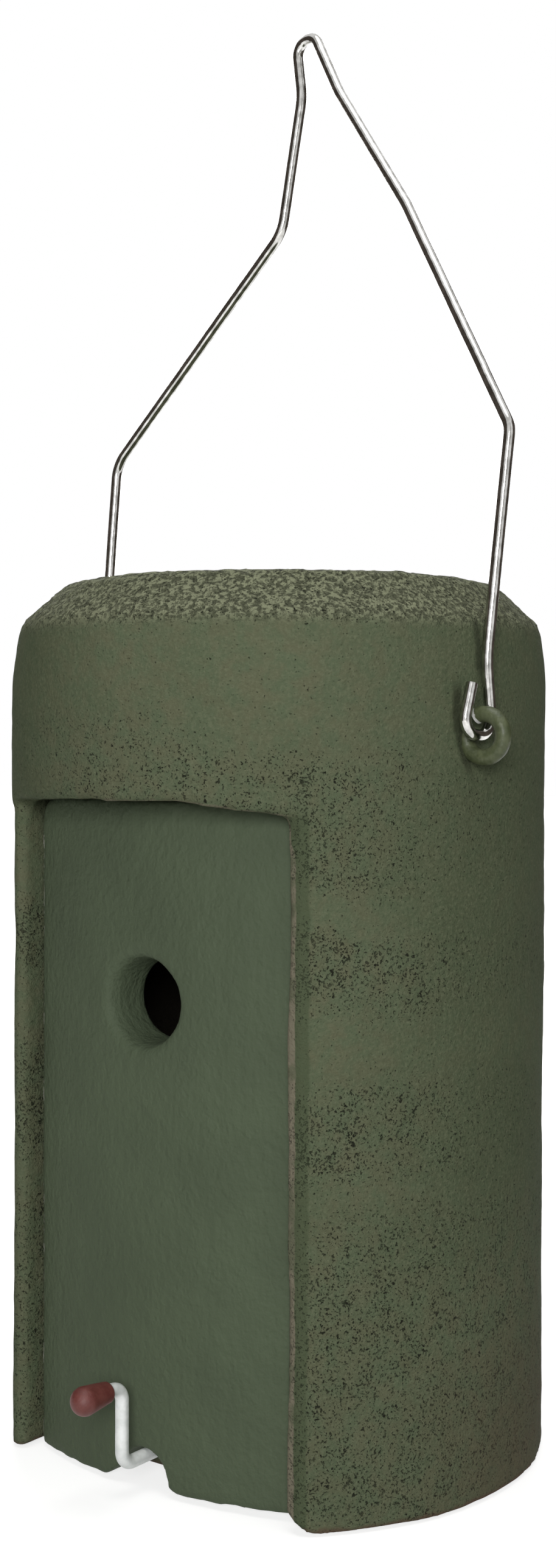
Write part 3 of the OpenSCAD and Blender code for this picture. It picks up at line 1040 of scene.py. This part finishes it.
def floorMaterial():
    look = stageLook
    made = bpy.data.materials.new("pale floor")
    made.use_nodes = True
    tree = made.node_tree
    surface = tree.nodes["Principled BSDF"]
    feed(surface, Base_Color=colour(look["floor"]), Roughness=0.9)
    start = Term(tree)
    far = start.node("ShaderNodeNewGeometry", None, "Position").calc("LENGTH").ramp(*look["far"])
    glow = {0: white, 1: seenShare(start) * (far * look["farLift"] + look["lift"])}
    glow = start.node("ShaderNodeEmission", glow)
    lit = start.node("ShaderNodeAddShader", {0: Term(tree, surface.outputs[0]), 1: glow})
    tree.links.new(lit.socket, tree.nodes["Material Output"].inputs["Surface"])
    return made


def addFloor():
    size = stageLook["floorHalf"]
    data = bpy.data.meshes.new("floorSheet")
    corners = [(-size, -size, 0), (size, -size, 0), (size, size, 0), (-size, size, 0)]
    data.from_pydata(corners, [], [(0, 1, 2, 3)])
    data.materials.append(floorMaterial())
    sheet = bpy.data.objects.new("floorSheet", data)
    sheet.location.z = -stageLook["floorDrop"]
    bpy.context.collection.objects.link(sheet)


def lightWorld():
    # White to the camera and in the metal, dim as a light
    dim = stageLook["world"]
    world = bpy.data.worlds.new("studio")
    bpy.context.scene.world = world
    world.use_nodes = True
    tree = world.node_tree
    ground = tree.nodes["Background"]
    ground.inputs["Color"].default_value = white
    strength = seenShare(Term(tree)) * (1.0 - dim) + dim
    tree.links.new(strength.socket, ground.inputs["Strength"])


def addFlag(name, side, start, end):
    # A dark card round one side, seen only in the bright metal, as in a photographer's tent
    look = stageLook
    steps = 8
    spots = []
    for height in look["cardHeights"]:
        for i in range(steps + 1):
            turn = math.radians(cameraLook["azimuth"] + side * (start + (end - start) * i / steps))
            spots.append((math.sin(turn) * look["cardNear"], -math.cos(turn) * look["cardNear"], height))
    data = bpy.data.meshes.new(name)
    data.from_pydata(spots, [], [(i, i + 1, i + steps + 2, i + steps + 1) for i in range(steps)])
    card = bpy.data.objects.new(name, data)
    bpy.context.collection.objects.link(card)
    made = bpy.data.materials.new(name)
    made.use_nodes = True
    feed(made.node_tree.nodes["Principled BSDF"], Base_Color=look["card"], Roughness=1.0)
    data.materials.append(made)
    card.visible_camera = False
    card.visible_diffuse = False
    card.visible_shadow = False


def addLight(name, aside, elevation, distance, size, power):
    a = math.radians(cameraLook["azimuth"] + aside)
    e = math.radians(elevation)
    centre = Vector((0.0, 0.0, stageLook["lampsAim"]))
    back = Vector((math.sin(a) * math.cos(e), -math.cos(a) * math.cos(e), math.sin(e)))
    data = bpy.data.lights.new(name, "AREA")
    data.shape = "DISK"
    data.size = size
    data.energy = power
    lamp = bpy.data.objects.new(name, data)
    lamp.location = centre + back * distance
    lamp.rotation_euler = (-back).to_track_quat("-Z", "Y").to_euler()
    bpy.context.collection.objects.link(lamp)


# The photograph's view: the place in millimetres, the small angles in radians, the focal length in pixels
cameraLook = {
    "azimuth": 37.0,
    "distance": 721.19,
    "aside": -0.111,
    "height": 260.66,
    "pitch": 0.02061,
    "roll": -0.00341,
    "focal": 3123.26,
    "frameHeight": 2576.0,
}


def makeCamera():
    look = cameraLook
    a = math.radians(look["azimuth"])
    right = Vector((math.cos(a), math.sin(a), 0.0))
    back = Vector((math.sin(a), -math.cos(a), 0.0))
    aim = Matrix.Rotation(-look["pitch"], 3, right) @ -back
    tilt = Matrix.Rotation(look["roll"], 3, aim)
    side = tilt @ right
    up = tilt @ right.cross(aim)
    data = bpy.data.cameras.new("view")
    data.sensor_width = 36.0
    data.lens = look["focal"] / look["frameHeight"] * data.sensor_width
    data.clip_start = 0.05
    data.clip_end = 60.0
    lens = bpy.data.objects.new("view", data)
    spot = right * look["aside"] + back * look["distance"] + Vector((0.0, 0.0, look["height"]))
    basis = Matrix((side, up, -aim)).transposed().to_4x4()
    lens.matrix_world = Matrix.Translation(spot / perMetre) @ basis
    bpy.context.collection.objects.link(lens)
    bpy.context.scene.camera = lens


body = makeBody()
print("body made")
panel = makePanel()
print("panel made")
coat = coatMaterial()
rightEye = makeEye("rightEyeRod", 1, coat)
leftEye = makeEye("leftEyeRod", -1, coat)
bail = makeBail(wireMaterial())
crank = makeCrank(rodMaterial())
cap = makeCap(capMaterial())
print("wire and rod pieces made")

for piece, part, node, finish in (
    (body, "body", "body_shell", "woodcrete"),
    (panel, "panel", "front_panel", "panel_woodcrete"),
    (rightEye, "body", "right_eye", "coated_steel"),
    (leftEye, "body", "left_eye", "coated_steel"),
    (bail, "bail", "bail", "galvanised_wire"),
    (crank, "latch", "latch_crank", "pale_rod"),
    (cap, "latch", "latch_cap", "cap_plastic"),
):
    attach(piece, part)
    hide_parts(node)
print("pieces tied to the frame")

addFloor()
lightWorld()
makeCamera()
for card in stageLook["cards"]:
    addFlag(*card)
for lamp in stageLook["lamps"]:
    addLight(*lamp)
bpy.context.scene.view_settings.view_transform = "Standard"
print("stage, camera and lights made")
